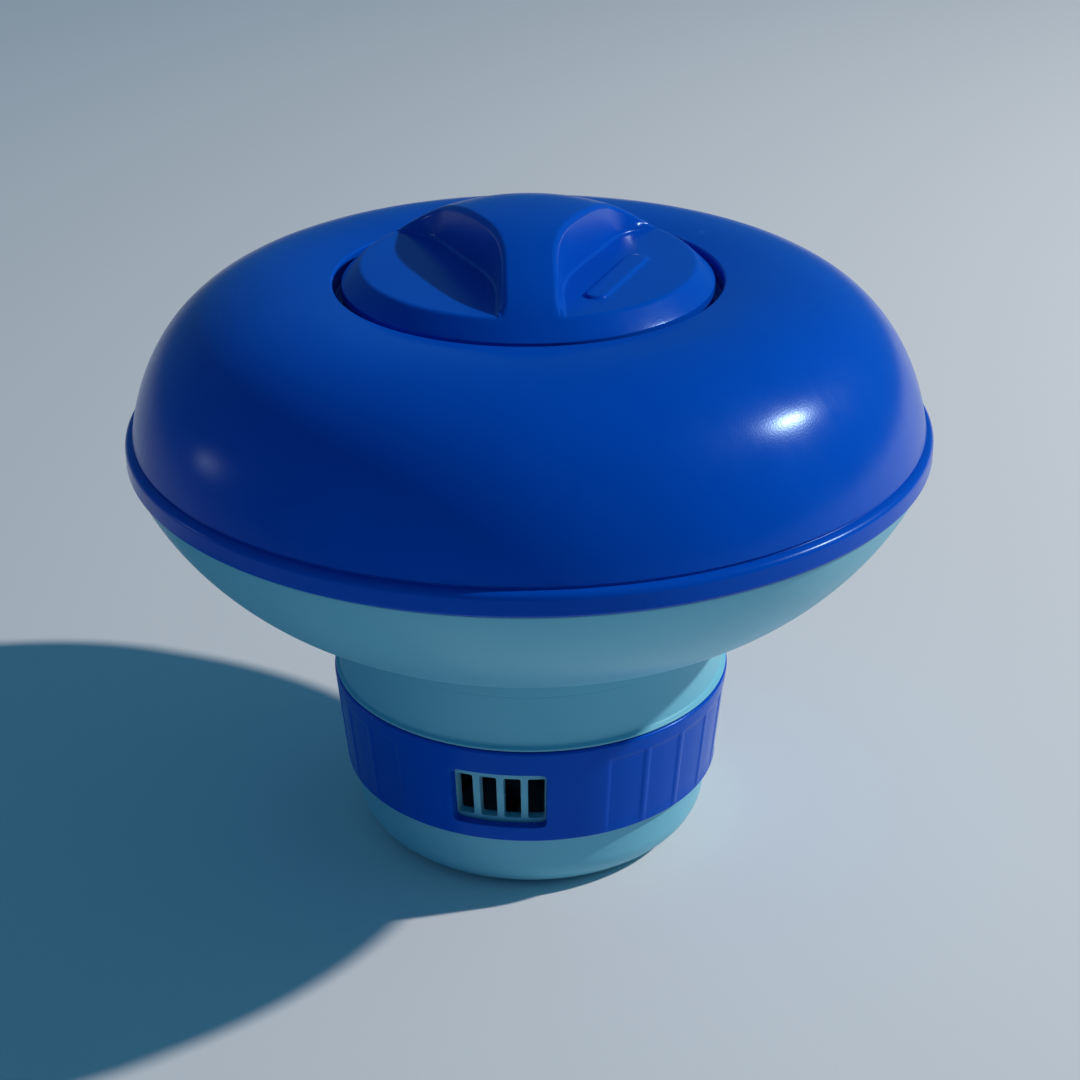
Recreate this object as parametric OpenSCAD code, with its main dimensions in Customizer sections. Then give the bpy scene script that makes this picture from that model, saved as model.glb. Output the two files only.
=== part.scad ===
// Floating chlorine dispenser for 76 mm tablets. The origin is the centre of the flat base and +Z is up.
// The flow window faces -Y. Two shells make a sealed float around a slotted canister. A twist cap closes
// the top, and a collar round the canister turns to open and close the flow windows.

/* [Float] */
// Diameter across the rim of the float
rim_d = 190; // [188:0.5:194]
// Height of the rim's underside above the base
rim_z = 102.5; // [101:0.5:104]
// Height of the dome's inner edge above the rim's underside
dome_h = 39.5; // [38:0.5:41]
// Wall of the two float shells
shell_wall = 2.4; // [1.8:0.1:2.6]

/* [Cap] */
// Radius of the cap's flange
cap_r = 43.15; // [42.9:0.05:43.4]
// Height of the grip's crest above the cap's bevel
grip_h = 12; // [9:0.5:14]
// Width of the grip bar between the finger pockets
bar_w = 13.5; // [11:0.5:16]
// Wall of the cap
cap_wall = 2.2; // [1.8:0.1:2.4]
// Turn of the grip about the cap's axis, from the Y axis
grip_turn = 10.4; // [0:0.1:45]

/* [Canister] */
// Radius of the canister's foot, where it meets the base cup
foot_r = 43.7; // [43.5:0.1:44]
// Wall of the canister
canister_wall = 2.4; // [2:0.1:2.6]
// Width of one flow slot, in degrees
slot_angle = 5.2; // [3:0.1:5.5]
// Number of flow slots in a group
slot_count = 4; // [2:1:4]

/* [Flow collar] */
// Height of the flow collar
collar_h = 25.6; // [25:0.1:26.4]
// Width of one flow window, in degrees
window_angle = 27.5; // [24:0.5:28]
// Turn of the collar from open to closed, in degrees
collar_turn = 32; // [28:1:36]
// Number of shallow flutes on each side of the collar
flute_count = 9; // [6:1:12]

/* [Hidden] */
$fn = 96;

fit_gap = 0.05;   // between pieces that bear on each other
free_gap = 0.3;   // between pieces that move past each other
cut = 1;          // how far a cutting shape runs past what it cuts

// Colours
blue = "#0a4fb8";
pale = "#d4e9ee";
black = "#202225";
grey = "#6d7276";

// Heights, from the base up
cup_top = 17.1;
collar_z = cup_top + free_gap;
collar_top = collar_z + collar_h;
shoulder_z = 57.5;
bowl_z = 65.3;
seat_z = rim_z + 34.5;
dome_edge_z = rim_z + dome_h;
web_z = rim_z + 4.4;
neck_flange_z = rim_z + 25;
neck_flange_h = 2;
tube_top = neck_flange_z - 1.5;
neck_end = rim_z + 18.5;
step_z = collar_top + free_gap;
grid_z = 15.5;
grid_h = 2;
cup_floor = 2.4;
spigot_top = 20.5;

// Radii
rim_r = rim_d / 2;
neck_in_r = 41.5;
neck_out_r = 43.1;
recess_r = 45.3;
ledge_r = 39.7;
plug_r = 39.3;
plug_in_r = 37.3;
tube_r = 45.8;
neck_r = 47.4;
shoulder_r = 47.9;
band_r = 48.4;
band_fillet = 1.5;
cup_r = 44.8;
spigot_in_r = 38.9;

// Places of the flow slots, and the lug that ends the collar's turn
slot_pitch = 7.3;
slot_lo = 22.6;
slot_hi = 34;
lug_at_top = collar_top - 0.9;
turn_lug_h = 2;
turn_lug_angle = 6;
turn_lug_play = 0.8;

// Twist lock: three lugs on the cap turn under three ledges in the filler neck
lug_count = 3;
lug_angle = 24;
entry_angle = 30;
lock_turn = 45;
stop_angle = 2.5;
ledge_z = seat_z - 3.5;
ledge_h = 2.5;
lug_h = 2.1;
lug_z = ledge_z - 0.4 - lug_h;
function lug_place(i) = 30 + i * 360 / lug_count;

// One point of a cubic curve, the way it heads, and the curve moved sideways by inset
function bezier(p, t) =
  pow(1 - t, 3) * p[0] + 3 * pow(1 - t, 2) * t * p[1] + 3 * (1 - t) * t * t * p[2] + pow(t, 3) * p[3];
function heading(p, t) =
  pow(1 - t, 2) * (p[1] - p[0]) + 2 * (1 - t) * t * (p[2] - p[1]) + t * t * (p[3] - p[2]);
function curve(p, steps, inset = 0) =
  [for (i = [0:steps]) let (t = i / steps, d = heading(p, t) / norm(heading(p, t)))
    bezier(p, t) + inset * [d.y, -d.x]];
function reversed(list) = [for (i = [len(list) - 1:-1:0]) list[i]];
function arc(centre, r, from, to, steps = 6) =
  [for (i = [0:steps]) let (a = from + (to - from) * i / steps) centre + r * [cos(a), sin(a)]];

// Outlines of the float, as radius and height
dome_curve = [[recess_r + 0.1, dome_edge_z], [recess_r + 33, dome_edge_z + 4.2],
              [rim_r - 4.8, rim_z + 23.7], [rim_r - 1.8, rim_z + 6.4]];
bowl_curve = [[band_r + band_fillet, bowl_z], [shoulder_r + 17.2, bowl_z],
              [rim_r - 8.9, rim_z - 20.4], [rim_r - 1, rim_z - 0.6]];
shell_steps = 20;

// Part of a flat ring about the Z axis
module ring(r_in, r_out, z_lo, z_hi, from = 0, span = 360) {
  rotate([0, 0, from])
    rotate_extrude(angle = span)
      translate([r_in, z_lo]) square([r_out - r_in, z_hi - z_lo]);
}

// Half section of the upper shell: the dome, a groove above its rolled rim, the skirt over the lower
// shell's lip, the inside, the recess round the cap and the filler neck
module dome_section() {
  rim_round = 1.8;
  rim_edge = 0.8;
  skirt_r = rim_r - 2;
  web_r = rim_r - 4.4;
  recess_out_r = recess_r + shell_wall;
  recess_floor = seat_z - shell_wall;
  flange_r = tube_r + 0.7;
  flange_top = neck_flange_z + neck_flange_h;
  outer = concat(
    [[recess_r, dome_edge_z - 0.4]],
    curve(dome_curve, shell_steps),
    [[rim_r - 2.6, rim_z + 5.7]],
    arc([rim_r - rim_round, rim_z + 3.8], rim_round, 100, 0),
    arc([rim_r - rim_edge, rim_z + rim_edge], rim_edge, 0, -90, 3));
  skirt = [[skirt_r, rim_z], [skirt_r, web_z], [web_r, web_z]];
  inner = reversed([for (p = curve(dome_curve, shell_steps, shell_wall)) if (p.x > recess_r + 4) p]);
  recess = [
    [recess_out_r, dome_edge_z - shell_wall - 0.4], [recess_out_r, recess_floor], [neck_out_r, recess_floor]];
  neck = [
    [neck_out_r, flange_top], [flange_r, flange_top], [flange_r, neck_flange_z], [neck_out_r, neck_flange_z],
    [neck_out_r, neck_end], [neck_in_r, neck_end], [neck_in_r, seat_z], [recess_r, seat_z]];
  polygon(concat(outer, skirt, inner, recess, neck));
}

// A lug ledge with the stop that ends the cap's turn and the one that holds it at the entry gap
module ledge(lug_at) {
  span = 360 / lug_count - entry_angle;
  play = 1.5;
  root = neck_in_r + 0.1;
  stop_r = ledge_r + 0.3;
  ledge_top = ledge_z + ledge_h;
  end_stop = lug_at - lug_angle / 2 - lock_turn - play - stop_angle;
  ring(ledge_r, root, ledge_z, ledge_top, lug_at - entry_angle / 2 - span, span);
  ring(stop_r, root, lug_z, ledge_z + fit_gap, end_stop, stop_angle);
  ring(stop_r, root, lug_z, ledge_top, lug_at + entry_angle / 2 - play, stop_angle);
}

module upper_shell() {
  color(blue) {
    rotate_extrude() dome_section();
    for (i = [0:lug_count - 1])
      ledge(lug_place(i));
  }
}

// Lip of the lower shell, which stands inside the upper shell's skirt
lip_r = rim_r - 2.1;
lip_z = web_z - 1.2;
seal_seat_h = 1.5;

module lower_shell() {
  bead = 0.6;
  lip_in_r = lip_r - 2.4;
  bore_r = tube_r + 0.2;
  seat_r = tube_r + 1.4;
  inner = [for (p = curve(bowl_curve, shell_steps, -shell_wall)) if (p.x > tube_r + 3 && p.x < lip_in_r) p];
  section = concat(
    [[band_r - bead, shoulder_z], [band_r, shoulder_z + bead]],
    arc([band_r + band_fillet, bowl_z - band_fillet], band_fillet, 180, 100, 4),
    curve(bowl_curve, shell_steps),
    [[rim_r - 1, rim_z - 0.2], [lip_r, rim_z - 0.2], [lip_r, lip_z], [lip_in_r, lip_z], [lip_in_r, rim_z]],
    reversed(inner),
    [[bore_r, bowl_z + shell_wall], [bore_r, shoulder_z + seal_seat_h], [seat_r, shoulder_z + seal_seat_h],
     [seat_r, shoulder_z]]);
  color(pale) rotate_extrude() polygon(section);
}

module rim_seal() {
  color(black) ring(lip_r - 2.2, lip_r - 0.1, lip_z + fit_gap, web_z - fit_gap);
}

module neck_seal() {
  color(black) ring(neck_out_r + fit_gap, tube_r - 0.2, tube_top + fit_gap, neck_flange_z - fit_gap);
}

module shoulder_seal() {
  color(black)
    ring(tube_r + fit_gap, tube_r + 1.35, shoulder_z + fit_gap, shoulder_z + seal_seat_h - fit_gap);
}

// Radius of the canister's outside behind the collar, at a height
function canister_r(z) = foot_r + (z - cup_top) * (neck_r - 0.9 - foot_r) / (step_z - cup_top);
turn_lug_r = canister_r(collar_top) + 0.6;

module canister() {
  bead_r = 48.6;
  bead_top = step_z + 0.5;
  mouth_r = neck_out_r + free_gap;
  first_slot = -((slot_count - 1) * slot_pitch + slot_angle) / 2;
  section = [
    [foot_r - canister_wall, cup_top], [foot_r, cup_top], [canister_r(step_z), step_z],
    [bead_r - 0.2, step_z], [bead_r, step_z + 0.2], [bead_r, bead_top], [neck_r + 0.1, bead_top + 0.5],
    [shoulder_r, shoulder_z],
    [tube_r, shoulder_z], [tube_r, tube_top], [mouth_r, tube_top], [mouth_r, shoulder_z + 1.5],
    [shoulder_r - canister_wall, shoulder_z - 3.5], [canister_r(step_z) - canister_wall, step_z]];
  color(pale) {
    difference() {
      rotate_extrude() polygon(section);
      for (side = [-90, 90], i = [0:slot_count - 1])
        ring(spigot_in_r, neck_r + cut, slot_lo, slot_hi, side + first_slot + i * slot_pitch, slot_angle);
    }
    ring(foot_r, turn_lug_r, lug_at_top - turn_lug_h, lug_at_top, -turn_lug_angle / 2, turn_lug_angle);
  }
}

// Half section of one flute cut into the collar, up to the plain band round its top
module flute_section(low_r, high_r) {
  band_h = 3.6;
  depth = 0.25;
  top = collar_h - band_h;
  top_r = low_r + (high_r - low_r) * top / collar_h;
  translate([0, collar_z])
    polygon([[low_r - depth, -cut], [low_r + cut, -cut], [high_r + cut, top], [top_r, top],
             [top_r - depth, top - 2 * depth]]);
}

module flow_collar() {
  low_r = 46.5;
  high_r = 49;
  lip = 0.5;
  window_lo = 21.5;
  window_hi = 36.6;
  panel_angle = 31;
  rib_angle = 1.4;
  pitch = (180 - 2 * panel_angle) / flute_count;
  relief_angle = turn_lug_angle / 2 + turn_lug_play;
  section = [
    [canister_r(collar_z) + free_gap, collar_z], [low_r - lip, collar_z], [low_r, collar_z + lip],
    [high_r, collar_top - lip], [high_r - lip, collar_top], [canister_r(collar_top) + free_gap, collar_top]];
  difference() {
    color(blue) rotate_extrude() polygon(section);
    for (side = [-90, 90]) {
      ring(foot_r - cut, high_r + cut, window_lo, window_hi, side - window_angle / 2, window_angle);
      for (i = [0:flute_count - 1])
        rotate([0, 0, side + panel_angle + rib_angle / 2 + i * pitch])
          rotate_extrude(angle = pitch - rib_angle)
            flute_section(low_r, high_r);
    }
    ring(foot_r, turn_lug_r + 0.4, lug_at_top - turn_lug_h - free_gap, lug_at_top + free_gap,
         -relief_angle - collar_turn, 2 * relief_angle + collar_turn);
  }
}

// Plate that the tablets stand on, with long and short slots by turns
module tablet_grid() {
  slot_w = 4.2;
  slot_end = 34;
  slot_starts = [14, 20];
  slots = 12;
  color(grey)
    difference() {
      translate([0, 0, grid_z]) cylinder(r = spigot_in_r - free_gap, h = grid_h);
      for (i = [0:slots - 1]) {
        start = slot_starts[i % 2];
        rotate([0, 0, i * 360 / slots])
          translate([start, -slot_w / 2, grid_z - cut])
            cube([slot_end - start, slot_w, grid_h + 2 * cut]);
      }
    }
}

module ballast() {
  color(grey) ring(13, 30, cup_floor + fit_gap, 8);
}

// Outline of the base cup's outside, moved in by inset and closed on the axis
function cup_outside(inset) = let (fillet = 10) concat(
  [[0, inset]],
  arc([33.8, fillet], fillet - inset, -90, 0, 10),
  [[cup_r - inset, cup_top]],
  [[0, cup_top]]);

module base_cup() {
  relief_r = 24;
  relief_h = 0.8;
  post_r = 11.5;
  root = 0.1;
  rib_count = 8;
  rib_w = 2;
  rib_from = 31.5;
  rib_lo = cup_floor / 2;
  spigot_z = cup_top - cup_floor;
  color(pale) {
    difference() {
      rotate_extrude() polygon(cup_outside(0));
      difference() {
        rotate_extrude() polygon(cup_outside(cup_floor));
        ring(spigot_in_r, cup_r + cut, spigot_z, cup_top + cut);
      }
      translate([0, 0, -cut]) cylinder(r = relief_r, h = cut + relief_h);
    }
    ring(spigot_in_r, foot_r - canister_wall - fit_gap, spigot_z, spigot_top);
    translate([0, 0, cup_floor - root]) cylinder(r = post_r, h = grid_z - cup_floor + root);
    intersection() {
      rotate_extrude() polygon(cup_outside(rib_lo));
      for (i = [0:rib_count - 1])
        rotate([0, 0, i * 360 / rib_count])
          translate([rib_from, -rib_w / 2, rib_lo])
            cube([cup_r - rib_from, rib_w, grid_z - rib_lo]);
    }
  }
}

// The cap's outside above its flange: a bevel, then a crown that rises to the crest
bevel_z = seat_z + 9;
bevel_r = cap_r - 4.3;
function crown(drop, r_max) =
  [for (i = [0:18]) let (r = r_max * cos(i * 5)) [r, bevel_z - drop + grip_h * (1 - pow(r / bevel_r, 2.5))]];

// One finger pocket, seen from above: along the bar, bending away from it to the straight slant of its
// back wall, then round and out through the edge of the crown
pocket_slant = 65.5;
pocket_back = 23.4;
side_bend = 45;
back_bend = 16;
function pocket_outline(grow) =
  let (reach = cap_r + 3, edge = bar_w / 2, along = 90 + pocket_slant)
  concat([[edge - grow, -reach]],
         arc([edge + side_bend, -24.5], side_bend + grow, 180, along, 5),
         arc([edge + 27.65, pocket_back - back_bend], back_bend + grow, along, 90, 8),
         [[reach, pocket_back + grow], [reach, -reach]]);

pocket_z = bevel_z - 0.2;

module pocket(grow) {
  translate([0, 0, pocket_z - grow])
    linear_extrude(grip_h + 2 + grow)
      polygon(pocket_outline(grow));
}

// A flat oblong pad with round ends, along X from the origin
module pad(length, width, height) {
  translate([0, -width / 2, 0]) cube([length, width, height]);
  for (x = [0, length])
    translate([x, 0, 0]) cylinder(d = width, h = height);
}

// Finger pockets on both sides of the bar
module pockets(grow) {
  rotate([0, 0, grip_turn])
    for (side = [0, 1])
      mirror([side, 0, 0]) pocket(grow);
}

module cap() {
  flange_z = seat_z + 1.65;
  plug_z = seat_z - 6.5;
  lug_root = 0.2;
  pad_root = 0.1;
  outside = concat([[0, flange_z], [cap_r, flange_z], [cap_r, bevel_z - 4.2]], crown(0, bevel_r));
  inside = concat([[0, flange_z - cut], [plug_in_r, flange_z - cut]], crown(cap_wall, plug_in_r));
  color(blue) {
    difference() {
      rotate_extrude() polygon(outside);
      pockets(0);
      difference() {
        rotate_extrude() polygon(inside);
        pockets(cap_wall);
      }
    }
    ring(plug_in_r, plug_r, plug_z, flange_z + cut);
    for (i = [0:lug_count - 1])
      ring(plug_r - lug_root, neck_in_r - 0.4, lug_z, lug_z + lug_h, lug_place(i) - lug_angle / 2, lug_angle);
    rotate([0, 0, grip_turn])
      translate([14.7, -24.6, pocket_z - pad_root])
        rotate([0, 0, 67])
          pad(26.4, 5.8, 0.7 + pad_root);
  }
}

module cap_seal() {
  color(black) ring(plug_r + fit_gap, cap_r - 0.15, seat_z + fit_gap, seat_z + 1.6);
}

cap();
cap_seal();
upper_shell();
rim_seal();
lower_shell();
neck_seal();
canister();
shoulder_seal();
flow_collar();
tablet_grid();
ballast();
base_cup();
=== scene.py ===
from math import cos, pi, radians, sin, tan

import bmesh
import bpy
import numpy as np
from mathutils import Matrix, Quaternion, Vector
from mathutils.geometry import delaunay_2d_cdt


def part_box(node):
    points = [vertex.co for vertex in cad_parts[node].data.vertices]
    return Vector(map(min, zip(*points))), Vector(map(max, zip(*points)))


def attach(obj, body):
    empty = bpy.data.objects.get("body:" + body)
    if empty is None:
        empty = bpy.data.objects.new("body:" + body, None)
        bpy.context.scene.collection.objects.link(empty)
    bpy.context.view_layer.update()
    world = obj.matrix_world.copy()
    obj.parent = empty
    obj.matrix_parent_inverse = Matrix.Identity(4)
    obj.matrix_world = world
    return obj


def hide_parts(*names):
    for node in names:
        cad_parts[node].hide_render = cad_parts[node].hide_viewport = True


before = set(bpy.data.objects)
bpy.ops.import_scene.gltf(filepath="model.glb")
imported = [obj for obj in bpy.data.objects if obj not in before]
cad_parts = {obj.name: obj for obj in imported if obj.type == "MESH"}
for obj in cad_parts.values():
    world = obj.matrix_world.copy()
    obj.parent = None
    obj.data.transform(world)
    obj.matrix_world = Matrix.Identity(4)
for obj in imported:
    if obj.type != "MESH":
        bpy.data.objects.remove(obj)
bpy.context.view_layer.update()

# ---------------------------------------------------------------- sizes
# Lengths are in millimetres until a mesh is made. Heights and outer radii come from the CAD parts in
# model.glb.
MM = 0.001


def low(node):
    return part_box(node)[0] / MM


def high(node):
    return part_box(node)[1] / MM


RIM_R = high("upper_shell").x
RIM_Z = low("upper_shell").z
SEAT_Z = low("cap_seal").z - 0.05
CAP_R = high("cap").x
CREST_Z = high("cap").z
PLUG_Z = low("cap").z
SHOULDER_Z = low("lower_shell").z
TUBE_TOP = high("canister").z
CUP_TOP = low("canister").z
COLLAR_Z = low("flow_collar").z
COLLAR_TOP = high("flow_collar").z
COLLAR_R = high("flow_collar").x
SPIGOT_TOP = high("base_cup").z

SHELL_WALL = 2.4
DOME_EDGE_Z = SEAT_Z + 5
WEB_Z = RIM_Z + 4.4
NECK_FLANGE_Z = RIM_Z + 25
NECK_END = RIM_Z + 18.5
NECK_IN_R = 41.5
NECK_OUT_R = 43.1
RECESS_R = 45.3
TUBE_R = 45.8
SHOULDER_R = 47.9
CANISTER_NECK_R = 47.4
FOOT_R = 43.7
BAND_R = 48.4
BAND_FILLET = 1.5
BOWL_Z = SHOULDER_Z + 7.8
GRIP_TURN = radians(10.4)


# ---------------------------------------------------------------- outlines
def bezier(p0, p1, p2, p3, steps, inset=0.0):
    """Points along a cubic curve of (radius, height) points, moved sideways by inset."""
    p0, p1, p2, p3 = (Vector(p) for p in (p0, p1, p2, p3))
    points = []
    for i in range(steps + 1):
        t = i / steps
        point = (1 - t) ** 3 * p0 + 3 * (1 - t) ** 2 * t * p1 + 3 * (1 - t) * t * t * p2 + t**3 * p3
        heading = (1 - t) ** 2 * (p1 - p0) + 2 * (1 - t) * t * (p2 - p1) + t * t * (p3 - p2)
        heading.normalize()
        points.append(point + inset * Vector((heading.y, -heading.x)))
    return points


def soften(corners, step=radians(12)):
    """A closed outline from (radius, height, fillet) corners: each fillet becomes an arc."""
    points = []
    for i, (r, z, fillet) in enumerate(corners):
        corner = Vector((r, z))
        if not fillet:
            points.append(corner)
            continue
        back = (Vector(corners[i - 1][:2]) - corner).normalized()
        ahead = (Vector(corners[(i + 1) % len(corners)][:2]) - corner).normalized()
        half = back.angle(ahead) / 2
        centre = corner + (back + ahead).normalized() * fillet / sin(half)
        first = corner + back * fillet / tan(half) - centre
        last = corner + ahead * fillet / tan(half) - centre
        sweep = first.angle_signed(last)
        count = max(2, round(abs(sweep) / step))
        for k in range(count + 1):
            a = -sweep * k / count
            turned = Vector((first.x * cos(a) - first.y * sin(a), first.x * sin(a) + first.y * cos(a)))
            points.append(centre + turned)
    return points


def sharp(points):
    """Curve points as corners with no fillet."""
    return [(p.x, p.y, 0) for p in points]


# ---------------------------------------------------------------- mesh making
def finish_mesh(name, mesh, material, body, node, sharp_angle=40):
    """Turns a bmesh in millimetres into a piece that stands for a CAD node."""
    bmesh.ops.remove_doubles(mesh, verts=mesh.verts, dist=1e-4)
    bmesh.ops.dissolve_degenerate(mesh, edges=mesh.edges, dist=1e-4)
    bmesh.ops.recalc_face_normals(mesh, faces=mesh.faces)
    bmesh.ops.scale(mesh, vec=(MM, MM, MM), verts=mesh.verts)
    data = bpy.data.meshes.new(name)
    mesh.to_mesh(data)
    mesh.free()
    data.shade_smooth()
    data.set_sharp_from_angle(angle=radians(sharp_angle))
    data.materials.append(material)
    piece = bpy.data.objects.new(name, data)
    bpy.context.scene.collection.objects.link(piece)
    normals = piece.modifiers.new("normals", "WEIGHTED_NORMAL")
    normals.keep_sharp = True
    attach(piece, body)
    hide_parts(node)
    return piece


def regular_angles(count):
    return [2 * pi * i / count for i in range(count)]


def with_edges(angles, edges, gap=radians(0.12)):
    """The angles, with a close pair added at each edge where the shape steps."""
    steps = [(e + side) % (2 * pi) for e in edges for side in (-gap / 2, gap / 2)]
    clear = [a for a in angles if all(abs((a - s + pi) % (2 * pi) - pi) > gap * 2 for s in steps)]
    return sorted(clear + steps)


def revolve(mesh, outline, angles, shape=None, holes=()):
    """Turns a closed outline about Z into mesh. shape(row, angle, r, z) may move a point.
    A hole is (first angle, last angle, outer rows, inner rows): the faces of those rows are left
    out there and walls join the outer skin to the inner one."""
    grid = []
    for angle in angles:
        column = []
        for row, p in enumerate(outline):
            r, z = shape(row, angle, p.x, p.y) if shape else (p.x, p.y)
            column.append(mesh.verts.new((r * cos(angle), r * sin(angle), z)))
        grid.append(column)
    rows, columns = len(outline), len(angles)

    def hole_at(column, row):
        for first, last, outer, inner in holes:
            if first <= column < last and (outer[0] <= row < outer[1] or inner[0] <= row < inner[1]):
                return True
        return False

    for i in range(columns):
        for j in range(rows):
            if hole_at(i, j):
                continue
            a, b = grid[i], grid[(i + 1) % columns]
            corners = [a[j], b[j], b[(j + 1) % rows], a[(j + 1) % rows]]
            mesh.faces.new(corners)
    walls = []
    for first, last, outer, inner in holes:
        out_rows = list(range(outer[0], outer[1] + 1))
        in_rows = list(range(inner[1], inner[0] - 1, -1))
        for column, flip in ((grid[first], False), (grid[last % columns], True)):
            for (a, b), (c, d) in zip(zip(out_rows, out_rows[1:]), zip(in_rows, in_rows[1:])):
                face = [column[a], column[b], column[d], column[c]]
                walls.append(mesh.faces.new(face[::-1] if flip else face))
        for out_row, in_row, flip in ((out_rows[0], in_rows[0], True), (out_rows[-1], in_rows[-1], False)):
            for k in range(first, last):
                a, b = grid[k % columns], grid[(k + 1) % columns]
                face = [a[out_row], b[out_row], b[in_row], a[in_row]]
                walls.append(mesh.faces.new(face[::-1] if flip else face))
    return walls


def round_holes(mesh, walls, corner, edge):
    """Rounds the corners of the holes in plan by corner, then their rims by edge."""
    inside = set(walls)
    bmesh.ops.recalc_face_normals(mesh, faces=mesh.faces)
    corners = [e for f in walls for e in f.edges
               if all(x in inside for x in e.link_faces) and e.calc_face_angle(0) > radians(60)]
    made = bmesh.ops.bevel(mesh, geom=list(set(corners)), offset=corner, segments=5, profile=0.5,
                           affect="EDGES")
    inside = {f for f in inside if f.is_valid} | set(made["faces"])
    rims = {e for f in inside for e in f.edges if any(x not in inside for x in e.link_faces)}
    bmesh.ops.bevel(mesh, geom=list(rims), offset=edge, segments=3, profile=0.5, affect="EDGES")


# ---------------------------------------------------------------- materials
def node_set(material):
    material.use_nodes = True
    nodes = material.node_tree.nodes
    return nodes, material.node_tree.links, nodes["Principled BSDF"]


def add_noise(nodes, links, scale, detail=2.0, roughness=0.5, stretch=None):
    """A noise texture on object coordinates. stretch scales the axes apart, for streaks."""
    where = nodes.new("ShaderNodeTexCoord")
    noise = nodes.new("ShaderNodeTexNoise")
    noise.inputs["Scale"].default_value = scale
    noise.inputs["Detail"].default_value = detail
    noise.inputs["Roughness"].default_value = roughness
    if stretch:
        mapping = nodes.new("ShaderNodeMapping")
        mapping.inputs["Scale"].default_value = stretch
        links.new(where.outputs["Object"], mapping.inputs["Vector"])
        links.new(mapping.outputs["Vector"], noise.inputs["Vector"])
    else:
        links.new(where.outputs["Object"], noise.inputs["Vector"])
    return noise


def ramp(nodes, links, source, lo, hi, out_lo, out_hi):
    """Maps source from lo..hi to out_lo..out_hi, clamped."""
    change = nodes.new("ShaderNodeMapRange")
    change.inputs["From Min"].default_value = lo
    change.inputs["From Max"].default_value = hi
    change.inputs["To Min"].default_value = out_lo
    change.inputs["To Max"].default_value = out_hi
    links.new(source, change.inputs["Value"])
    return change.outputs["Result"]


def plastic(name, colour, shade, rough, grain_height, grain_scale, wear, wear_colour, sheen):
    """Moulded plastic: mottled colour, a fine moulded grain, patchy gloss and pale wear on edges."""
    material = bpy.data.materials.new(name)
    nodes, links, shader = node_set(material)
    mottle = add_noise(nodes, links, 22, 4)
    tint = nodes.new("ShaderNodeMix")
    tint.data_type = "RGBA"
    tint.inputs["A"].default_value = (*colour, 1)
    tint.inputs["B"].default_value = (*shade, 1)
    links.new(ramp(nodes, links, mottle.outputs["Fac"], 0.35, 0.7, 0, 1), tint.inputs["Factor"])

    geometry = nodes.new("ShaderNodeNewGeometry")
    scuffs = add_noise(nodes, links, 260, 5, 0.7)
    edges = ramp(nodes, links, geometry.outputs["Pointiness"], 0.52, 0.6, 0, wear)
    patches = ramp(nodes, links, scuffs.outputs["Fac"], 0.5, 0.66, 0, 1)
    worn = nodes.new("ShaderNodeMath")
    worn.operation = "MULTIPLY"
    links.new(edges, worn.inputs[0])
    links.new(patches, worn.inputs[1])
    surface = nodes.new("ShaderNodeMix")
    surface.data_type = "RGBA"
    surface.inputs["B"].default_value = (*wear_colour, 1)
    links.new(tint.outputs["Result"], surface.inputs["A"])
    links.new(worn.outputs["Value"], surface.inputs["Factor"])
    links.new(surface.outputs["Result"], shader.inputs["Base Color"])

    smears = add_noise(nodes, links, 45, 5, 0.6, stretch=(1, 1, 0.35))
    links.new(ramp(nodes, links, smears.outputs["Fac"], 0.3, 0.75, rough - 0.05, rough + 0.09),
              shader.inputs["Roughness"])
    grain = add_noise(nodes, links, grain_scale, 2, 0.6)
    waves = add_noise(nodes, links, 30, 2)
    height = nodes.new("ShaderNodeMath")
    height.operation = "MULTIPLY_ADD"
    height.inputs[1].default_value = 0.35
    links.new(waves.outputs["Fac"], height.inputs[2])
    links.new(grain.outputs["Fac"], height.inputs[0])
    bump = nodes.new("ShaderNodeBump")
    bump.inputs["Strength"].default_value = 0.5
    bump.inputs["Distance"].default_value = grain_height
    links.new(height.outputs["Value"], bump.inputs["Height"])
    links.new(bump.outputs["Normal"], shader.inputs["Normal"])
    shader.inputs["Specular IOR Level"].default_value = 0.2
    shader.inputs["Specular Tint"].default_value = (*sheen, 1)
    return material


def rubber():
    material = bpy.data.materials.new("seal_rubber")
    nodes, links, shader = node_set(material)
    bloom = add_noise(nodes, links, 90, 4)
    tint = nodes.new("ShaderNodeMix")
    tint.data_type = "RGBA"
    tint.inputs["A"].default_value = (0.012, 0.012, 0.014, 1)
    tint.inputs["B"].default_value = (0.045, 0.045, 0.05, 1)
    links.new(ramp(nodes, links, bloom.outputs["Fac"], 0.4, 0.75, 0, 1), tint.inputs["Factor"])
    links.new(tint.outputs["Result"], shader.inputs["Base Color"])
    links.new(ramp(nodes, links, bloom.outputs["Fac"], 0.3, 0.8, 0.62, 0.8), shader.inputs["Roughness"])
    bump = nodes.new("ShaderNodeBump")
    bump.inputs["Strength"].default_value = 0.31
    bump.inputs["Distance"].default_value = 0.0001
    links.new(add_noise(nodes, links, 1500, 2).outputs["Fac"], bump.inputs["Height"])
    links.new(bump.outputs["Normal"], shader.inputs["Normal"])
    return material


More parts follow.
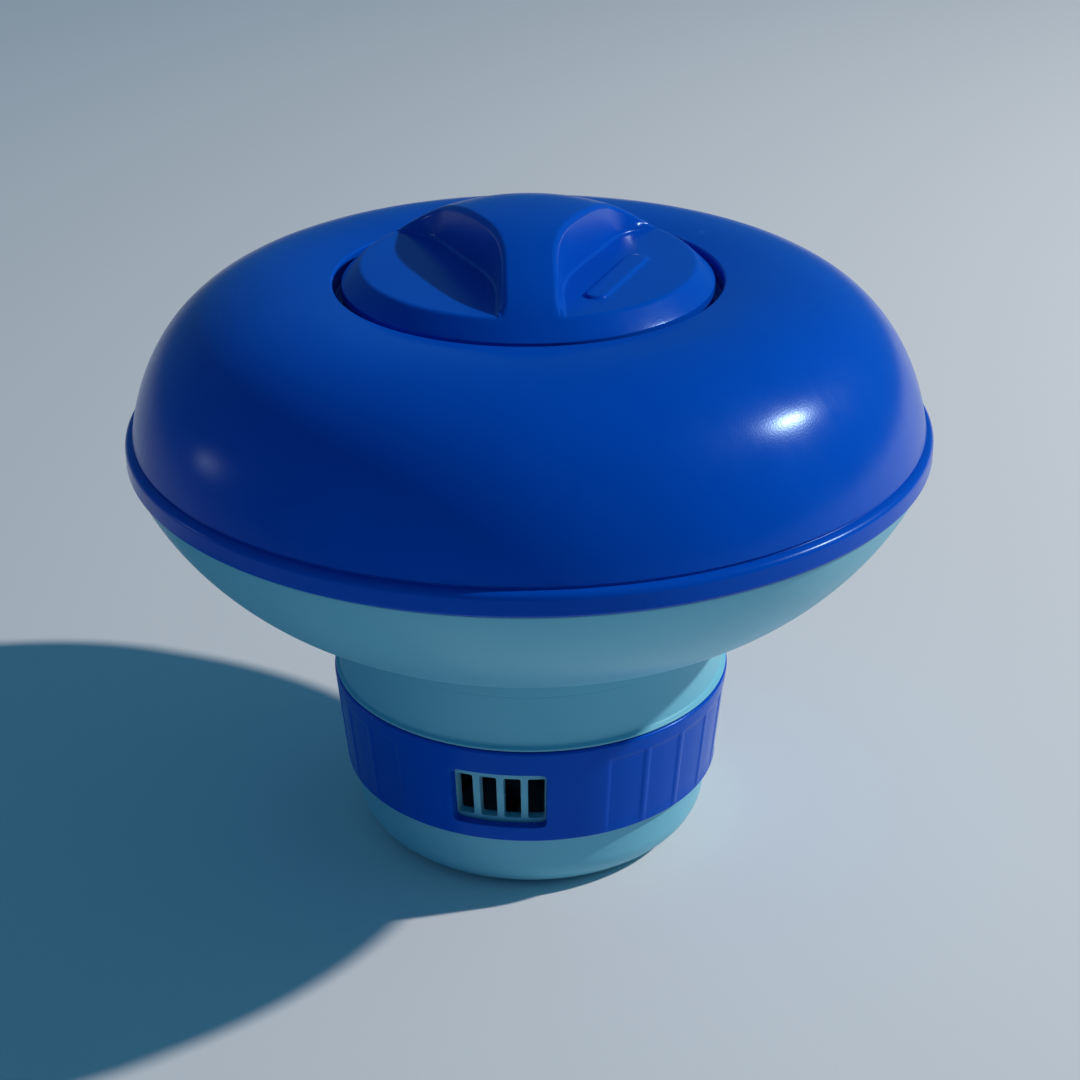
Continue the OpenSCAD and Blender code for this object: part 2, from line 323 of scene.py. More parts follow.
def coated_casting():
    material = bpy.data.materials.new("ballast_coating")
    nodes, links, shader = node_set(material)
    cast = add_noise(nodes, links, 400, 5, 0.65)
    tint = nodes.new("ShaderNodeMix")
    tint.data_type = "RGBA"
    tint.inputs["A"].default_value = (0.06, 0.064, 0.068, 1)
    tint.inputs["B"].default_value = (0.12, 0.125, 0.13, 1)
    links.new(cast.outputs["Fac"], tint.inputs["Factor"])
    links.new(tint.outputs["Result"], shader.inputs["Base Color"])
    links.new(ramp(nodes, links, cast.outputs["Fac"], 0.3, 0.7, 0.35, 0.55), shader.inputs["Roughness"])
    bump = nodes.new("ShaderNodeBump")
    bump.inputs["Strength"].default_value = 0.6
    bump.inputs["Distance"].default_value = 0.0003
    links.new(cast.outputs["Fac"], bump.inputs["Height"])
    links.new(bump.outputs["Normal"], shader.inputs["Normal"])
    return material


BLUE = plastic(
    "blue_plastic", colour=(0.0, 0.08, 0.56), shade=(0.0, 0.07, 0.5), sheen=(0.25, 0.6, 1), rough=0.2,
    grain_height=0.00008, grain_scale=2200, wear=0.35, wear_colour=(0.03, 0.2, 0.7))
# The pale plastic's colours hold painted shade: they are darker and more teal than the near-white plastic
# itself, as if it stood in bluish shade
PALE = plastic(
    "pale_plastic", colour=(0.19, 0.54, 0.69), shade=(0.17, 0.51, 0.66), sheen=(0.6, 0.85, 1), rough=0.34,
    grain_height=0.00006, grain_scale=2200, wear=0.3, wear_colour=(0.6, 0.78, 0.82))
GREY = plastic(
    "grid_plastic", colour=(0.22, 0.25, 0.27), shade=(0.19, 0.22, 0.24), sheen=(1, 1, 1), rough=0.5,
    grain_height=0.0001, grain_scale=900, wear=0.4, wear_colour=(0.4, 0.44, 0.46))
RUBBER = rubber()
CASTING = coated_casting()


# ---------------------------------------------------------------- float shells
def dome_curve(steps, inset=0.0):
    return bezier((RECESS_R + 0.1, DOME_EDGE_Z), (RECESS_R + 33, DOME_EDGE_Z + 4.2),
                  (RIM_R - 4.8, RIM_Z + 23.7), (RIM_R - 1.8, RIM_Z + 6.4), steps, inset)


LUG_ANGLE = radians(24)
ENTRY_ANGLE = radians(30)
LOCK_TURN = radians(45)
STOP_ANGLE = radians(2.5)
LUG_PLACES = [radians(30 + 120 * i) for i in range(3)]
LEDGE_R = 39.7
LEDGE_Z = SEAT_Z - 3.5
LEDGE_TOP = SEAT_Z - 1
LUG_Z = LEDGE_Z - 2.5


def make_upper_shell():
    outer = dome_curve(56)[2:]
    inner = [p for p in dome_curve(40, SHELL_WALL) if p.x > RECESS_R + 4][::-1]
    corners = (
        [(RECESS_R, DOME_EDGE_Z, 0.8)] + sharp(outer)
        + [(RIM_R - 2.6, RIM_Z + 5.7, 0.25), (RIM_R - 1.8, RIM_Z + 5.7, 0.3), (RIM_R, RIM_Z + 5.2, 1.7),
           (RIM_R, RIM_Z, 0.9), (RIM_R - 2, RIM_Z, 0.3), (RIM_R - 2, WEB_Z, 0), (RIM_R - 4.4, WEB_Z, 0)]
        + sharp(inner)
        + [(RECESS_R + SHELL_WALL, SEAT_Z - SHELL_WALL, 0), (NECK_OUT_R, SEAT_Z - SHELL_WALL, 0),
           (NECK_OUT_R, NECK_FLANGE_Z + 2, 0), (TUBE_R + 0.7, NECK_FLANGE_Z + 2, 0.4),
           (TUBE_R + 0.7, NECK_FLANGE_Z, 0.4), (NECK_OUT_R, NECK_FLANGE_Z, 0), (NECK_OUT_R, NECK_END, 0.5),
           (NECK_IN_R, NECK_END, 0.5)])
    outline = soften(corners)
    # Rows of the filler neck's bore: the stops reach from the first pair to the second, the ledges above
    first_row = len(outline)
    for z in (LUG_Z, LUG_Z, LEDGE_Z, LEDGE_Z, LEDGE_TOP, LEDGE_TOP):
        outline.append(Vector((NECK_IN_R, z)))
    outline += soften([(NECK_IN_R, NECK_END, 0), (NECK_IN_R, SEAT_Z, 0.4), (RECESS_R, SEAT_Z, 0.6),
                       (RECESS_R, DOME_EDGE_Z, 0)])[1:-1]
    half_ledge = (2 * pi / 3 - ENTRY_ANGLE) / 2
    ledges, stops, posts, edges = [], [], [], []
    for place in LUG_PLACES:
        ledges.append((place - ENTRY_ANGLE / 2 - half_ledge, half_ledge))
        stops.append((place - LUG_ANGLE / 2 - LOCK_TURN - radians(1.5) - STOP_ANGLE / 2, STOP_ANGLE / 2))
        posts.append((place + ENTRY_ANGLE / 2 - radians(1.5) + STOP_ANGLE / 2, STOP_ANGLE / 2))
    for middle, half in ledges + stops + posts:
        edges += [middle - half, middle + half]

    def within(angle, spans):
        return any(abs((angle - middle + pi) % (2 * pi) - pi) < half for middle, half in spans)

    def shape(row, angle, r, z):
        step = row - first_row
        if step in (1, 2) and within(angle, stops + posts):
            r = LEDGE_R + 0.3
        elif step in (3, 4) and within(angle, ledges):
            r = LEDGE_R
        elif step in (3, 4) and within(angle, posts):
            r = LEDGE_R + 0.3
        return r, z

    mesh = bmesh.new()
    revolve(mesh, outline, with_edges(regular_angles(240), edges), shape)
    return finish_mesh("upper_shell_visual", mesh, BLUE, "float", "upper_shell")


def bowl_curve(steps, inset=0.0):
    return bezier((BAND_R + BAND_FILLET, BOWL_Z), (SHOULDER_R + 17.2, BOWL_Z),
                  (RIM_R - 8.9, RIM_Z - 20.4), (RIM_R - 1, RIM_Z - 0.6), steps, inset)


def make_lower_shell():
    lip_r = RIM_R - 2.1
    inner = [p for p in bowl_curve(40, -SHELL_WALL) if TUBE_R + 3 < p.x < lip_r - SHELL_WALL][::-1]
    corners = (
        [(BAND_R, SHOULDER_Z, 0.5), (BAND_R, BOWL_Z, BAND_FILLET)] + sharp(bowl_curve(56))
        + [(RIM_R - 1, RIM_Z - 0.2, 0.2), (lip_r, RIM_Z - 0.2, 0), (lip_r, WEB_Z - 1.2, 0.3),
           (lip_r - SHELL_WALL, WEB_Z - 1.2, 0.3), (lip_r - SHELL_WALL, RIM_Z, 0)]
        + sharp(inner)
        + [(TUBE_R + 0.2, BOWL_Z + SHELL_WALL, 0), (TUBE_R + 0.2, SHOULDER_Z + 1.5, 0),
           (TUBE_R + 1.4, SHOULDER_Z + 1.5, 0), (TUBE_R + 1.4, SHOULDER_Z, 0.2)])
    mesh = bmesh.new()
    revolve(mesh, soften(corners), regular_angles(240))
    return finish_mesh("lower_shell_visual", mesh, PALE, "float", "lower_shell")


# ---------------------------------------------------------------- canister
STEP_Z = COLLAR_TOP + 0.3
SLOT_ANGLE = radians(5.2)
SLOT_PITCH = radians(7.3)
SLOT_LOW, SLOT_HIGH = 22.6, 34.0
BEAD_R = 48.6
FRONT = -pi / 2


def canister_r(z):
    """Radius of the canister's outside behind the collar."""
    return FOOT_R + (z - CUP_TOP) * (CANISTER_NECK_R - 0.9 - FOOT_R) / (STEP_Z - CUP_TOP)


def rows_between(outline, low_z, high_z, split, outside):
    """First and last row between two heights, outside or inside of the canister's radius + split."""
    rows = [i for i, p in enumerate(outline)
            if low_z - 1e-3 <= p.y <= high_z + 1e-3 and (p.x > canister_r(p.y) + split) == outside]
    return rows[0], rows[-1]


def make_canister():
    wall = SHELL_WALL
    mouth_r = NECK_OUT_R + 0.3

    def skin(z, inset):
        return (canister_r(z) - inset, z, 0)

    mid = (SLOT_LOW + SLOT_HIGH) / 2
    corners = [
        (FOOT_R, CUP_TOP, 0.25), skin(SLOT_LOW, 0), skin(mid, 0), skin(SLOT_HIGH, 0), skin(STEP_Z, 0),
        (BEAD_R, STEP_Z, 0.2), (BEAD_R, STEP_Z + 0.5, 0.25), (CANISTER_NECK_R + 0.1, STEP_Z + 1, 0.6),
        (SHOULDER_R, SHOULDER_Z, 0.3), (TUBE_R, SHOULDER_Z, 0),
        (TUBE_R, TUBE_TOP, 0.4), (mouth_r, TUBE_TOP, 0.4), (mouth_r, SHOULDER_Z + 1.5, 2),
        (SHOULDER_R - wall, SHOULDER_Z - 3.5, 2), skin(STEP_Z, wall), skin(SLOT_HIGH, wall), skin(mid, wall),
        skin(SLOT_LOW, wall), (FOOT_R - wall, CUP_TOP, 0.25)]
    outline = soften(corners)
    outer = rows_between(outline, SLOT_LOW, SLOT_HIGH, -1.2, True)
    inner = rows_between(outline, SLOT_LOW, SLOT_HIGH, -1.2, False)
    # Angles: the slots' sides, two columns across each slot and bar, and even steps between the groups
    angles, holes = [], []
    group = 3 * SLOT_PITCH + SLOT_ANGLE
    for side in (FRONT, FRONT + pi):
        start = side - group / 2
        for i in range(4):
            at = start + i * SLOT_PITCH
            holes.append((len(angles), len(angles) + 2, outer, inner))
            angles += [at, at + SLOT_ANGLE / 2]
            if i < 3:
                angles += [at + SLOT_ANGLE, at + (SLOT_ANGLE + SLOT_PITCH) / 2]
        angles.append(start + group)
        rest = pi - group
        angles += [start + group + rest * k / 72 for k in range(1, 72)]
    mesh = bmesh.new()
    walls = revolve(mesh, outline, angles, holes=holes)
    round_holes(mesh, walls, 0.5, 0.2)
    # The lug that ends the collar's turn
    lug_lo, lug_hi, lug_half = COLLAR_TOP - 2.9, COLLAR_TOP - 0.9, radians(3)
    block = []
    for a in (-lug_half, 0, lug_half):
        for r, z in ((FOOT_R, lug_lo), (canister_r(COLLAR_TOP) + 0.6, lug_lo),
                     (canister_r(COLLAR_TOP) + 0.6, lug_hi), (FOOT_R, lug_hi)):
            block.append(mesh.verts.new((r * cos(a), r * sin(a), z)))
    for k in range(2):
        for j in range(4):
            n = (j + 1) % 4
            mesh.faces.new((block[4 * k + j], block[4 * k + 4 + j], block[4 * k + 4 + n], block[4 * k + n]))
    mesh.faces.new(block[:4])
    mesh.faces.new(block[8:][::-1])
    return finish_mesh("canister_visual", mesh, PALE, "float", "canister")


# ---------------------------------------------------------------- flow collar
WINDOW_HALF = radians(13.75)
WINDOW_LOW, WINDOW_HIGH = 21.5, 36.6
PANEL_HALF = radians(31)
FLUTES = 9


def make_flow_collar():
    low_r = COLLAR_R - 2.5
    band = 3.6
    flute_depth = 0.25
    rib = radians(0.8)
    height = COLLAR_TOP - COLLAR_Z
    pitch = (pi - 2 * PANEL_HALF) / FLUTES

    def cone(z):
        return low_r + (COLLAR_R - low_r) * (z - COLLAR_Z) / height

    def outer(z):
        return (cone(z), z, 0)

    def bore(z, fillet=0):
        return (canister_r(z) + 0.3, z, fillet)

    mid = (WINDOW_LOW + WINDOW_HIGH) / 2
    flute_top = COLLAR_TOP - band
    relief_top = COLLAR_TOP - 0.6
    relief_low = COLLAR_TOP - 3.2
    corners = [
        (low_r, COLLAR_Z, 0.5), outer(COLLAR_Z + 2), outer(WINDOW_LOW), outer(mid), outer(WINDOW_HIGH),
        outer(flute_top - 1.2), outer(flute_top - 0.8), outer(flute_top - 0.4), outer(flute_top),
        (COLLAR_R, COLLAR_TOP, 0.7), bore(COLLAR_TOP, 0.2), bore(relief_top), bore(relief_top),
        bore(relief_low), bore(relief_low), bore(WINDOW_HIGH), bore(mid), bore(WINDOW_LOW),
        bore(COLLAR_Z, 0.2)]
    outline = soften(corners)

    def bore_rows(z):
        return [i for i, p in enumerate(outline) if abs(p.y - z) < 1e-4 and p.x < COLLAR_R - 1.2]

    relief = (bore_rows(relief_top)[1], bore_rows(relief_low)[0])
    relief_r = canister_r(COLLAR_TOP) + 1
    relief_span = (radians(-35.8), radians(3.8))
    window_outer = rows_between(outline, WINDOW_LOW, WINDOW_HIGH, 1.0, True)
    window_inner = rows_between(outline, WINDOW_LOW, WINDOW_HIGH, 1.0, False)

    def smooth(t):
        t = min(max(t, 0.0), 1.0)
        return t * t * (3 - 2 * t)

    def flute(angle):
        """1 in a flute, 0 on a rib or on the plain panel round a window, with soft sides."""
        from_window = abs((angle - FRONT + pi / 2) % pi - pi / 2)
        if from_window < PANEL_HALF:
            return 0.0
        across = ((angle - FRONT) % pi - PANEL_HALF) % pitch
        from_rib = min(across, pitch - across) - rib / 2
        return smooth(from_rib / radians(1.1))

    def shape(row, angle, r, z):
        if row in relief and relief_span[0] < (angle + pi) % (2 * pi) - pi < relief_span[1]:
            return relief_r, z
        if r > cone(z) - 0.9 and z <= flute_top:
            ends = smooth((flute_top - z) / 1.2) * smooth((z - COLLAR_Z - 0.4) / 1.6)
            r -= flute_depth * flute(angle) * ends
        return r, z

    # Angles: even steps across each window, soft steps at each rib and the ends of the relief
    angles, holes = [], []
    window_columns = 12
    column = 2 * WINDOW_HALF / window_columns
    edge = radians(1.6)
    for side in (FRONT, FRONT + pi):
        holes.append((len(angles), len(angles) + window_columns, window_outer, window_inner))
        angles += [side - WINDOW_HALF + column * k for k in range(window_columns + 1)]
        angles += [side + WINDOW_HALF + (PANEL_HALF - WINDOW_HALF) * k / 8 for k in range(1, 8)]
        for i in range(FLUTES + 1):
            at = side + PANEL_HALF + i * pitch
            offsets = [-1.6, -1.25, -0.9, -0.4, 0.4, 0.9, 1.25, 1.6]
            angles += [at + radians(o) for o in offsets]
            if i < FLUTES:
                angles += [at + edge + (pitch - 2 * edge) * k / 5 for k in range(1, 5)]
        end = side + pi - PANEL_HALF
        angles += [end + edge + (PANEL_HALF - WINDOW_HALF - edge) * k / 8 for k in range(1, 8)]
    mesh = bmesh.new()
    walls = revolve(mesh, outline, angles, shape, holes)
    round_holes(mesh, walls, 1.1, 0.3)
    return finish_mesh("flow_collar_visual", mesh, BLUE, "collar", "flow_collar", 50)


# ---------------------------------------------------------------- base cup
def make_base_cup():
    floor = 2.4
    grid_z = 15.5
    spigot_r = FOOT_R - SHELL_WALL - 0.05

    def corner(inset, angles):
        """Points round the foot's corner, moved in by inset."""
        r = 10 - inset
        return [(33.8 + r * sin(radians(a)), 10 - r * cos(radians(a)), 0) for a in angles]

    corners = [(0.5, 0.8, 0), (24, 0.8, 0.4), (24.6, 0, 0.4), (33.8, 0, 0)]
    corners += corner(0, range(6, 91, 6))
    corners += [(44.8, CUP_TOP, 0.4), (spigot_r, CUP_TOP, 0), (spigot_r, SPIGOT_TOP, 0.5),
                (38.9, SPIGOT_TOP, 0.5), (38.9, CUP_TOP - floor, 0.3), (42.3, CUP_TOP - floor, 0)]
    corners += corner(floor, range(90, -1, -10))
    corners += [(11.5, floor, 0.8), (11.5, grid_z, 0.4), (0.5, grid_z, 0)]
    outline = soften(corners)
    mesh = bmesh.new()
    revolve(mesh, outline, regular_angles(180))
    for f in [f for f in mesh.faces if all(abs(v.co.x) < 0.6 and abs(v.co.y) < 0.6 for v in f.verts)]:
        mesh.faces.remove(f)
    for z in (0.8, grid_z):
        ring = [v for v in mesh.verts if abs(v.co.z - z) < 1e-4 and v.co.xy.length < 0.6]
        ring.sort(key=lambda v: np.arctan2(v.co.y, v.co.x))
        mesh.faces.new(ring if z > 1 else ring[::-1])
    # Ribs that carry the tablet grid, each sunk into the wall and floor
    for i in range(8):
        a = 2 * pi * i / 8
        profile = [(31.5, floor - 0.3), (39.2, floor + 0.4), (41.8, 7.5), (42.6, CUP_TOP - 2.5),
                   (42.6, grid_z), (31.5, grid_z)]
        ends = []
        for side in (-1, 1):
            ends.append([mesh.verts.new((r * cos(a) - side * sin(a), r * sin(a) + side * cos(a), z))
                         for r, z in profile])
        mesh.faces.new(ends[0])
        mesh.faces.new(ends[1][::-1])
        for k in range(len(profile)):
            n = (k + 1) % len(profile)
            mesh.faces.new((ends[0][k], ends[0][n], ends[1][n], ends[1][k]))
    return finish_mesh("base_cup_visual", mesh, PALE, "float", "base_cup")


# ---------------------------------------------------------------- cap
BEVEL_Z = SEAT_Z + 9
BEVEL_R = CAP_R - 4.3
GRIP_H = CREST_Z - BEVEL_Z
CAP_WALL = 2.2
BAR_HALF = 6.75
SLANT = radians(65.5)
SIDE_BEND = 45.0
BACK_BEND = 16.0
PAD_START = np.array((14.7, -24.6))
PAD_AXIS = np.array((cos(radians(67)), sin(radians(67))))
PAD_LENGTH = 26.4
PAD_HALF = 2.9
PAD_HEIGHT = 0.7
EDGE_R = CAP_R - 0.7


def pocket_line(inset, step=1.0):
    """The edge of the right finger pocket in plan, moved into the pocket by inset: along the bar, a wide
    bend, the straight slant of the back wall and a tighter bend out to the cap's edge."""
    along = pi / 2 + SLANT
    points = [(BAR_HALF + inset, -46.0 + step * k) for k in range(int(21.5 / step))]
    for centre, r, start, end in (((BAR_HALF + SIDE_BEND, -24.5), SIDE_BEND - inset, pi, along),
                                  ((BAR_HALF + 27.65, 7.4), BACK_BEND - inset, along, pi / 2)):
        first = np.array((centre[0] + r * cos(start), centre[1] + r * sin(start)))
        if start < pi:
            gap = first - np.array(points[-1])
            count = round(float(np.hypot(*gap)) / step)
            points += [tuple(first - gap * (count - k) / count) for k in range(1, count)]
        count = max(2, round(r * (start - end) / step))
        points += [(centre[0] + r * cos(start + (end - start) * k / count),
                    centre[1] + r * sin(start + (end - start) * k / count)) for k in range(count + 1)]
    last = points[-1]
    points += [(last[0] + step * k, last[1]) for k in range(1, int(12 / step))]
    return np.array(points)


def line_distance(points, line):
    """Distance of each point to a polyline, positive on its right-hand side."""
    best = np.full(len(points), 1e9)
    side = np.zeros(len(points))
    for a, b in zip(line, line[1:]):
        along = b - a
        t = np.clip(((points - a) @ along) / (along @ along), 0, 1)
        away = points - (a + t[:, None] * along)
        distance = np.hypot(away[:, 0], away[:, 1])
        cross = along[1] * (points[:, 0] - a[0]) - along[0] * (points[:, 1] - a[1])
        nearer = distance < best - 1e-9
        best[nearer] = distance[nearer]
        side[nearer] = np.sign(cross[nearer])
    return best * np.where(side == 0, 1, side)


POCKET_EDGE = pocket_line(0, 0.5)
WALL_SHIFT = 0.5
CREST_FILLET = 1.5
FOOT_FILLET = 0.8
DRAFT = 0.8


def soft_min(a, b, width):
    blend = np.maximum(width - np.abs(a - b), 0) / width
    return np.minimum(a, b) - blend * blend * width / 4


def pad_distance(points):
    """Distance outside the oblong pad's edge in plan, negative inside it."""
    t = np.clip((points - PAD_START) @ PAD_AXIS, 0, PAD_LENGTH)
    away = points - (PAD_START + t[:, None] * PAD_AXIS)
    return np.hypot(away[:, 0], away[:, 1]) - PAD_HALF


def cap_height(points, under=0.0):
    """Height of the cap's top at plan points; under gives the inner face, that far inside the outer one."""
    r = np.hypot(points[:, 0], points[:, 1])
    crown = BEVEL_Z - under + GRIP_H * (1 - np.minimum(r / BEVEL_R, 1.15) ** 2.5)
    mirrored = np.column_stack((np.abs(points[:, 0]), points[:, 1]))
    inside = line_distance(mirrored, POCKET_EDGE) + under + WALL_SHIFT
    floor = BEVEL_Z - 0.2 - under
    deep = np.maximum(crown - floor, 0)
    crest = np.minimum(CREST_FILLET, 0.45 * deep)
    foot = np.minimum(FOOT_FILLET, 0.45 * deep)
    lead = np.clip((inside + CREST_FILLET) / CREST_FILLET, 0, 1)
    tail = np.clip((DRAFT + FOOT_FILLET - inside) / FOOT_FILLET, 0, 1)
    drop = np.where(inside <= 0, crest * (1 - np.sqrt(1 - lead * lead)),
                    np.where(inside < DRAFT, crest + (deep - crest - foot) * inside / DRAFT,
                             deep - foot * (1 - np.sqrt(np.maximum(1 - tail * tail, 0)))))
    drop = np.where(inside > DRAFT, deep - foot * (1 - np.sqrt(np.maximum(1 - tail * tail, 0))), drop)
    z = crown - drop
    if under:
        return z
    pad = np.clip(-pad_distance(points) / 0.7, 0, 1)
    z = z + PAD_HEIGHT * pad * pad * (3 - 2 * pad)
    bevel = BEVEL_Z - (r - BEVEL_R) * 4.2 / 4.3
    return soft_min(z, bevel, 0.9)


def plan_mesh(radius, count, curves, spacing):
    """Triangles over a disc in plan, with edges along the given curves and even points between."""
    points = [(radius * cos(2 * pi * i / count), radius * sin(2 * pi * i / count)) for i in range(count)]
    edges = [(i, (i + 1) % count) for i in range(count)]
    clear = [np.array(points)]
    for curve, closed in curves:
        keep = np.hypot(curve[:, 0], curve[:, 1]) < radius - 0.45
        previous = None
        first = None
        for p, inside in zip(curve, keep):
            if not inside:
                previous = None
                continue
            points.append(tuple(p))
            if previous is not None:
                edges.append((previous, len(points) - 1))
            previous = len(points) - 1
            first = previous if first is None else first
        if closed and keep.all():
            edges.append((previous, first))
        clear.append(curve[keep])
    taken = np.vstack(clear)
    across = int(2 * radius / spacing) + 1
    for j in range(across):
        row_y = -radius + j * spacing * 0.866
        if row_y > radius:
            break
        xs = np.arange(-radius, radius, spacing) + (j % 2) * spacing / 2
        row = np.column_stack((xs, np.full(len(xs), row_y)))
        row = row[np.hypot(row[:, 0], row[:, 1]) < radius - 0.5]
        if not len(row):
            continue
        apart = row[:, None] - taken[None]
        near = np.min(np.hypot(apart[..., 0], apart[..., 1]), axis=1)
        points += [tuple(p) for p in row[near > spacing * 0.55]]
    verts, _, faces, *_ = delaunay_2d_cdt([Vector(p) for p in points], edges, [], 0, 1e-5)
    return np.array([tuple(v) for v in verts]), faces


def mirror_x(curve):
    return curve * np.array((-1, 1))


def make_cap():
    count = 240
    turned = np.array(((cos(GRIP_TURN), sin(GRIP_TURN)), (-sin(GRIP_TURN), cos(GRIP_TURN))))
    curves = []
    for d in (-1.5, -1.25, -0.9, -0.55, -0.25, -0.08, 0, 0.2, 0.4, 0.6, 0.8, 0.88, 1.05, 1.3, 1.6):
        line = pocket_line(d - WALL_SHIFT, 0.8)
        curves += [(line, False), (mirror_x(line), False)]
    circle = np.array([(cos(2 * pi * i / 180), sin(2 * pi * i / 180)) for i in range(180)])
    for r in (BEVEL_R - 0.7, BEVEL_R - 0.35, BEVEL_R, BEVEL_R + 0.35, BEVEL_R + 0.7, BEVEL_R + 2.1):
        curves.append((circle * r, True))
    pad_turn = float(np.arctan2(PAD_AXIS[1], PAD_AXIS[0]))
    for d in (-0.75, -0.5, -0.25, 0.0):
        r = PAD_HALF + d
        ends = []
        for along, start in ((0, pad_turn + pi / 2), (PAD_LENGTH, pad_turn - pi / 2)):
            sweep = [start + pi * k / 14 for k in range(15)]
            ends.append([PAD_START + PAD_AXIS * along + r * np.array((cos(a), sin(a))) for a in sweep])
        path = []
        for a, b in ((ends[0], ends[1]), (ends[1], ends[0])):
            path += a + [a[-1] + (b[0] - a[-1]) * k / 30 for k in range(1, 30)]
        curves.append((np.array(path), True))

    mesh = bmesh.new()
    flat, faces = plan_mesh(EDGE_R, count, curves, 1.3)
    heights = cap_height(flat)
    placed = flat @ turned
    top = [mesh.verts.new((x, y, z)) for (x, y), z in zip(placed, heights)]
    for face in faces:
        mesh.faces.new([top[i] for i in face])

    plug_in, plug_out, flange_z = 37.3, 39.3, SEAT_Z + 1.65
    under_curves = []
    for d in (-2.0, -1.2, -0.5, 0.3, 0.7, 1.1):
        line = pocket_line(-CAP_WALL + d, 1.2)
        under_curves += [(line, False), (mirror_x(line), False)]
    flat, faces = plan_mesh(plug_in, count, under_curves, 2.0)
    heights = cap_height(flat, CAP_WALL)
    placed = flat @ turned
    bottom = [mesh.verts.new((x, y, z)) for (x, y), z in zip(placed, heights)]
    for face in faces:
        mesh.faces.new([bottom[i] for i in face[::-1]])

    # The edge, the flange's underside and the plug join the two faces
    angles = [2 * pi * i / count for i in range(count)]
    rim = np.array([(EDGE_R * cos(a), EDGE_R * sin(a)) for a in angles])
    eave = np.array([(plug_in * cos(a), plug_in * sin(a)) for a in angles])
    rim_heights = cap_height(rim)
    eave_heights = cap_height(eave, CAP_WALL)
    edge_z = float(rim_heights.min())
    outline = [Vector((EDGE_R, edge_z))]
    outline += soften([(EDGE_R, edge_z, 0), (CAP_R, edge_z - 0.72, 0.5), (CAP_R, flange_z, 0.35),
                       (plug_out, flange_z, 0.3), (plug_out, PLUG_Z, 0.5), (plug_in, PLUG_Z, 0.5),
                       (plug_in, BEVEL_Z - 6, 0)])[1:]
    outline.append(Vector((plug_in, BEVEL_Z - 3)))
    grid = []
    for k, a in enumerate(angles):
        column = []
        for row, p in enumerate(outline):
            z = p.y
            if row == 0:
                z = rim_heights[k]
            elif row == len(outline) - 1:
                z = eave_heights[k]
            column.append(mesh.verts.new((p.x * cos(a + GRIP_TURN), p.x * sin(a + GRIP_TURN), z)))
        grid.append(column)
    for k in range(count):
        a, b = grid[k], grid[(k + 1) % count]
        for row in range(len(outline) - 1):
            mesh.faces.new((a[row], a[row + 1], b[row + 1], b[row]))

    # Lugs on the plug
    lug_r = NECK_IN_R - 0.4
    for place in LUG_PLACES:
        section = soften([(plug_out - 0.2, LUG_Z, 0), (lug_r, LUG_Z, 0.4), (lug_r, LUG_Z + 2.1, 0.4),
                          (plug_out - 0.2, LUG_Z + 2.1, 0)])
        columns = []
        for k in range(17):
            a = place - LUG_ANGLE / 2 + LUG_ANGLE * k / 16
            columns.append([mesh.verts.new((p.x * cos(a), p.x * sin(a), p.y)) for p in section])
        for a, b in zip(columns, columns[1:]):
            for k in range(len(section)):
                n = (k + 1) % len(section)
                mesh.faces.new((a[k], b[k], b[n], a[n]))
        mesh.faces.new(columns[0])
        mesh.faces.new(columns[-1][::-1])
    return finish_mesh("cap_visual", mesh, BLUE, "lid", "cap", 60)


make_upper_shell()
make_lower_shell()
make_canister()
make_flow_collar()
make_base_cup()
make_cap()

# ---------------------------------------------------------------- pieces that keep their CAD mesh
for node, material in (
        ("cap_seal", RUBBER), ("rim_seal", RUBBER), ("neck_seal", RUBBER), ("shoulder_seal", RUBBER),
        ("tablet_grid", GREY), ("ballast", CASTING)):
    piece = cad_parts[node]
    piece.data.materials.clear()
    piece.data.materials.append(material)
    rounding = piece.modifiers.new("rounding", "BEVEL")
    rounding.width = 0.2 * MM
    rounding.segments = 2
    rounding.limit_method = "ANGLE"
    rounding.angle_limit = radians(50)

# ---------------------------------------------------------------- camera
CAMERA_AZIMUTH = radians(9.5)
CAMERA_ELEVATION = radians(25.84)
CAMERA_DISTANCE = 0.55
LOOK_AT = Vector((0, 0, 0.0742))
CAMERA_ROLL = radians(0.4)
AXIS_OFFSET = 0.00926  # the object's axis stands this far left of the middle, as a part of the width

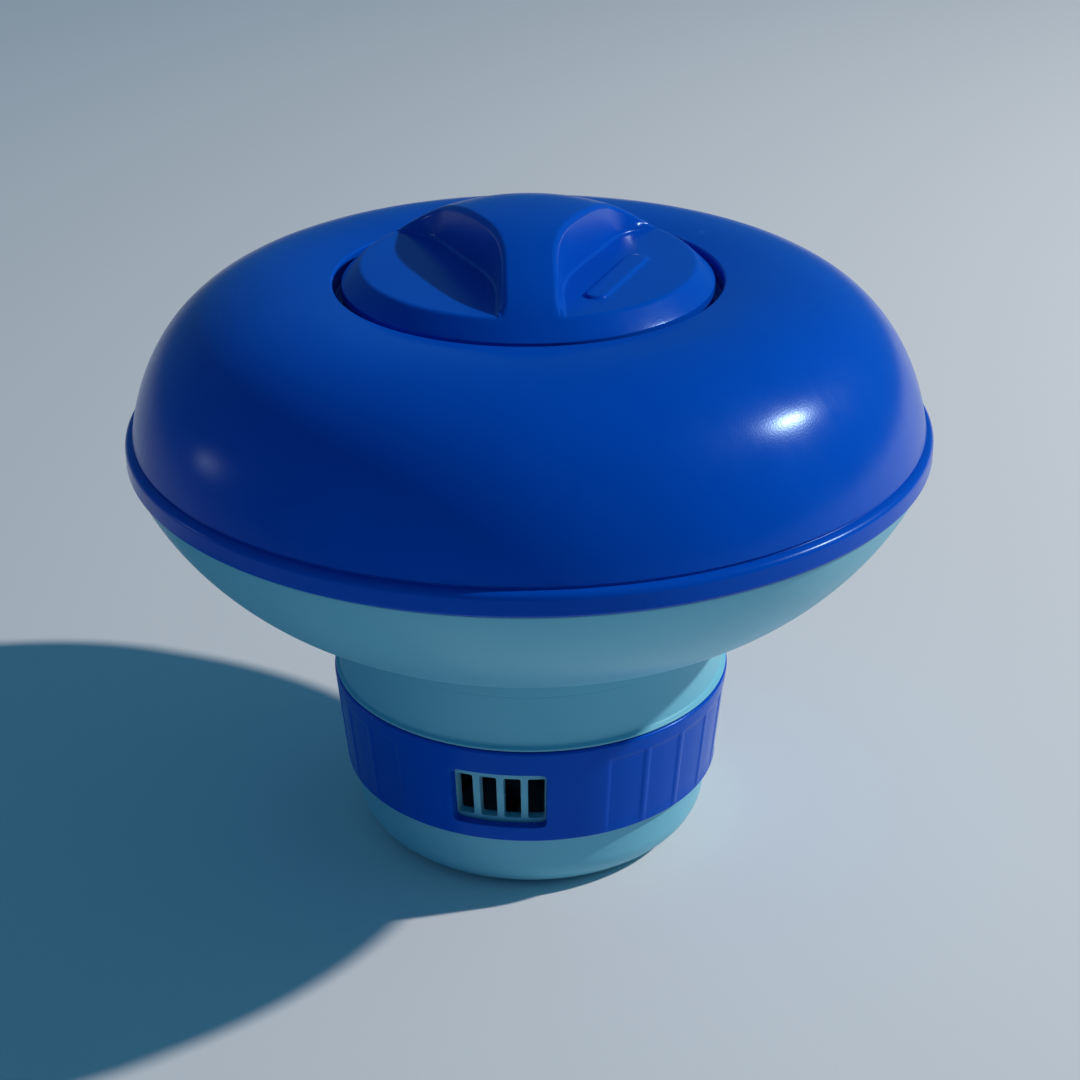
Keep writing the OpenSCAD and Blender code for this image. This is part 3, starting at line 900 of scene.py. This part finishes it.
back = Vector((sin(CAMERA_AZIMUTH) * cos(CAMERA_ELEVATION), -cos(CAMERA_AZIMUTH) * cos(CAMERA_ELEVATION),
               sin(CAMERA_ELEVATION)))
right = Vector((cos(CAMERA_AZIMUTH), sin(CAMERA_AZIMUTH), 0))
away = Vector((-sin(CAMERA_AZIMUTH), cos(CAMERA_AZIMUTH), 0))
camera_data = bpy.data.cameras.new("camera")
camera_data.sensor_width = 36
camera_data.lens = 75.07
camera_data.shift_x = AXIS_OFFSET
camera = bpy.data.objects.new("camera", camera_data)
camera.location = LOOK_AT + back * CAMERA_DISTANCE
camera.rotation_mode = "QUATERNION"
camera.rotation_quaternion = (-back).to_track_quat("-Z", "Y") @ Quaternion((0, 0, 1), -CAMERA_ROLL)
bpy.context.scene.collection.objects.link(camera)
bpy.context.scene.camera = camera


# ---------------------------------------------------------------- floor and light
def make_floor():
    mesh = bmesh.new()
    bmesh.ops.create_grid(mesh, x_segments=1, y_segments=1, size=4)
    data = bpy.data.meshes.new("floor")
    mesh.to_mesh(data)
    mesh.free()
    material = bpy.data.materials.new("floor")
    nodes, links, shader = node_set(material)
    shader.inputs["Base Color"].default_value = (0.7, 0.76, 0.8, 1)
    shader.inputs["Roughness"].default_value = 0.9
    shader.inputs["Specular IOR Level"].default_value = 0.1
    data.materials.append(material)
    floor = bpy.data.objects.new("floor", data)
    bpy.context.scene.collection.objects.link(floor)


def area_light(name, sideways, depth, height, distance, size, energy, colour=(1, 1, 1)):
    """A soft disc lamp in the direction (right, away, up) from the object, seen from the camera."""
    data = bpy.data.lights.new(name, "AREA")
    data.shape = "DISK"
    data.size = size
    data.energy = energy
    data.color = colour
    lamp = bpy.data.objects.new(name, data)
    towards = (right * sideways + away * depth + Vector((0, 0, height))).normalized()
    lamp.location = LOOK_AT + towards * distance
    lamp.rotation_mode = "QUATERNION"
    lamp.rotation_quaternion = towards.to_track_quat("Z", "Y")
    bpy.context.scene.collection.objects.link(lamp)


make_floor()
area_light("key", 0.793, 0.097, 0.602, 1.8, 0.06, 30, (1, 0.88, 0.8))
area_light("side", -0.98, 0.15, 0.12, 1.6, 0.12, 0.4)

world = bpy.data.worlds.new("world")
world.use_nodes = True
world.node_tree.nodes["Background"].inputs["Color"].default_value = (0.16, 0.6, 1.0, 1)
world.node_tree.nodes["Background"].inputs["Strength"].default_value = 0.22
bpy.context.scene.world = world
bpy.context.scene.view_settings.view_transform = "Standard"

bpy.context.view_layer.update()
